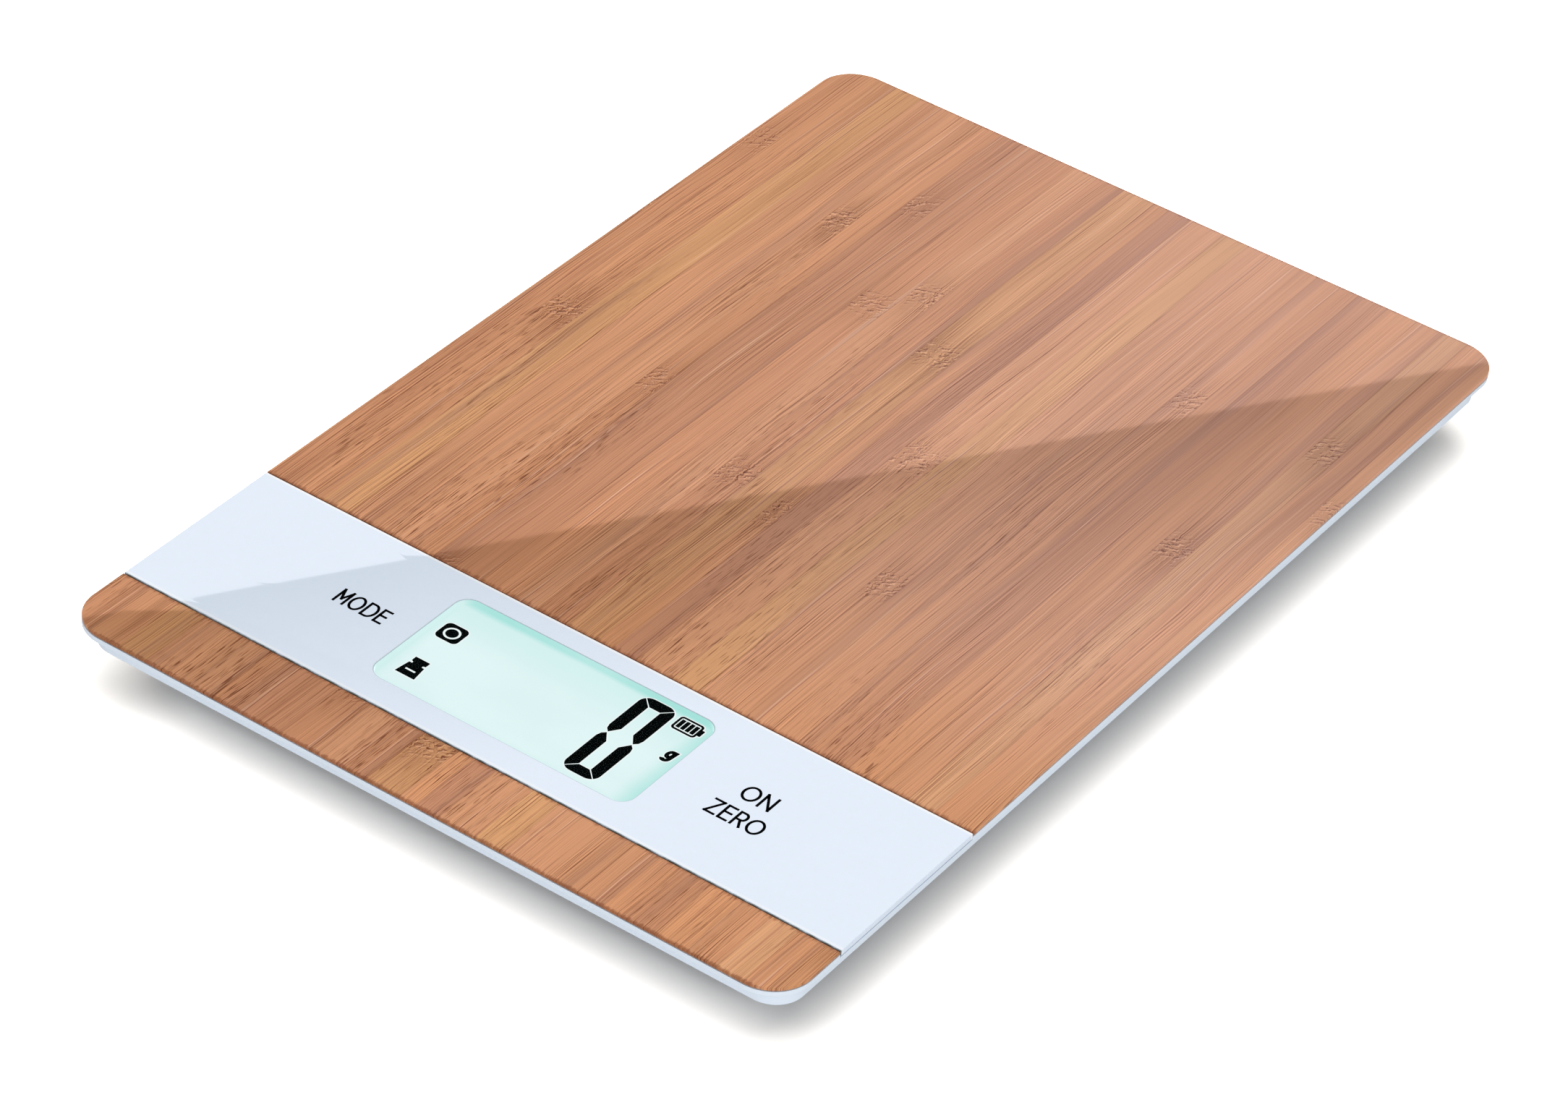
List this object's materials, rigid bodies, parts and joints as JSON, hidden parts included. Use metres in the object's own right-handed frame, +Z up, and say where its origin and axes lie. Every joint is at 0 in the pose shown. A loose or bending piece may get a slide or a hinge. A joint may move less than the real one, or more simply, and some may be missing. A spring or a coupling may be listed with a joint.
{
  "type": "kitchen scale",
  "caption": "Slim electronic kitchen scale: bamboo-faced weighing platform, white display panel with LCD window, shallow white housing on four load-cell feet.",
  "frame": {"origin": "on the table under the middle of the platform", "axes": "+Z up, +Y from the display towards the back of the scale, +X to the user's right"},
  "size_m": [0.15, 0.234, 0.0175],
  "materials": {
    "bamboo": "lacquered bamboo veneer, gloss",
    "adhesive": "thin double-sided film",
    "panel_white": "glossy bluish white",
    "clear_lens": "clear, polished",
    "shell_white": "satin cool white",
    "foot_rubber": "grey elastomer",
    "cell_steel": "plated steel",
    "gauge_film": "amber film",
    "lead_red": "vinyl wire jacket",
    "lcd_glass": "polarised glass, gloss",
    "light_guide": "milky acrylic",
    "frame_white": "plain moulded",
    "black_plastic": "plain black",
    "board_green": "green solder mask",
    "nickel": "nickel plate",
    "battery_case": "printed jacket over a metal can"
  },
  "bodies": {
    "platform": {"adhesive_front": "adhesive", "adhesive_panel": "adhesive", "adhesive_rear": "adhesive", "backlight_guide": "light_guide", "backlight_lamp": "clear_lens", "bamboo_front": "bamboo", "bamboo_rear": "bamboo", "battery_1": "battery_case", "battery_2": "battery_case", "battery_contact_bridge": "nickel", "battery_contact_minus": "nickel", "battery_contact_plus": "nickel", "battery_lead_black": "black_plastic", "battery_lead_red": "lead_red", "battery_spring_1": "cell_steel", "battery_spring_2": "cell_steel", "board_screw_1": "cell_steel", "board_screw_2": "cell_steel", "bottom_housing": "shell_white", "capacitor": "black_plastic", "case_screw_1": "cell_steel", "case_screw_2": "cell_steel", "case_screw_3": "cell_steel", "case_screw_4": "cell_steel", "case_screw_5": "cell_steel", "case_screw_6": "cell_steel", "cell_lead_front_left": "lead_red", "cell_lead_front_right": "lead_red", "cell_lead_rear_left": "lead_red", "cell_lead_rear_right": "lead_red", "crystal": "cell_steel", "display_panel": "panel_white", "display_window": "clear_lens", "elastomer_connector": "black_plastic", "lcd_frame": "frame_white", "lcd_glass": "lcd_glass", "load_cell_front_left": "cell_steel", "load_cell_front_right": "cell_steel", "load_cell_rear_left": "cell_steel", "load_cell_rear_right": "cell_steel", "main_board": "board_green", "processor_dome": "black_plastic", "strain_gauge_front_left": "gauge_film", "strain_gauge_front_right": "gauge_film", "strain_gauge_rear_left": "gauge_film", "strain_gauge_rear_right": "gauge_film", "top_cover": "shell_white", "touch_spring_left": "nickel", "touch_spring_right": "nickel"},
    "battery_door": {"battery_door": "shell_white"},
    "foot_front_left": {"foot_cup_front_left": "shell_white", "foot_pad_front_left": "foot_rubber"},
    "foot_front_right": {"foot_cup_front_right": "shell_white", "foot_pad_front_right": "foot_rubber"},
    "foot_rear_left": {"foot_cup_rear_left": "shell_white", "foot_pad_rear_left": "foot_rubber"},
    "foot_rear_right": {"foot_cup_rear_right": "shell_white", "foot_pad_rear_right": "foot_rubber"}
  },
  "joints": [
    {"name": "battery_door_hinge", "type": "hinge", "parent": "platform", "child": "battery_door", "pos_m": [0, 0.0354, 0.0022], "axis": [1, 0, 0], "range_deg": [0, 75]},
    {"name": "foot_travel_front_left", "type": "slide", "parent": "platform", "child": "foot_front_left", "axis": [0, 0, 1], "range_m": [0, 0.0003], "stiffness_N_per_m": 40000},
    {"name": "foot_travel_front_right", "type": "slide", "parent": "platform", "child": "foot_front_right", "axis": [0, 0, 1], "range_m": [0, 0.0003], "stiffness_N_per_m": 40000},
    {"name": "foot_travel_rear_left", "type": "slide", "parent": "platform", "child": "foot_rear_left", "axis": [0, 0, 1], "range_m": [0, 0.0003], "stiffness_N_per_m": 40000},
    {"name": "foot_travel_rear_right", "type": "slide", "parent": "platform", "child": "foot_rear_right", "axis": [0, 0, 1], "range_m": [0, 0.0003], "stiffness_N_per_m": 40000}
  ]
}
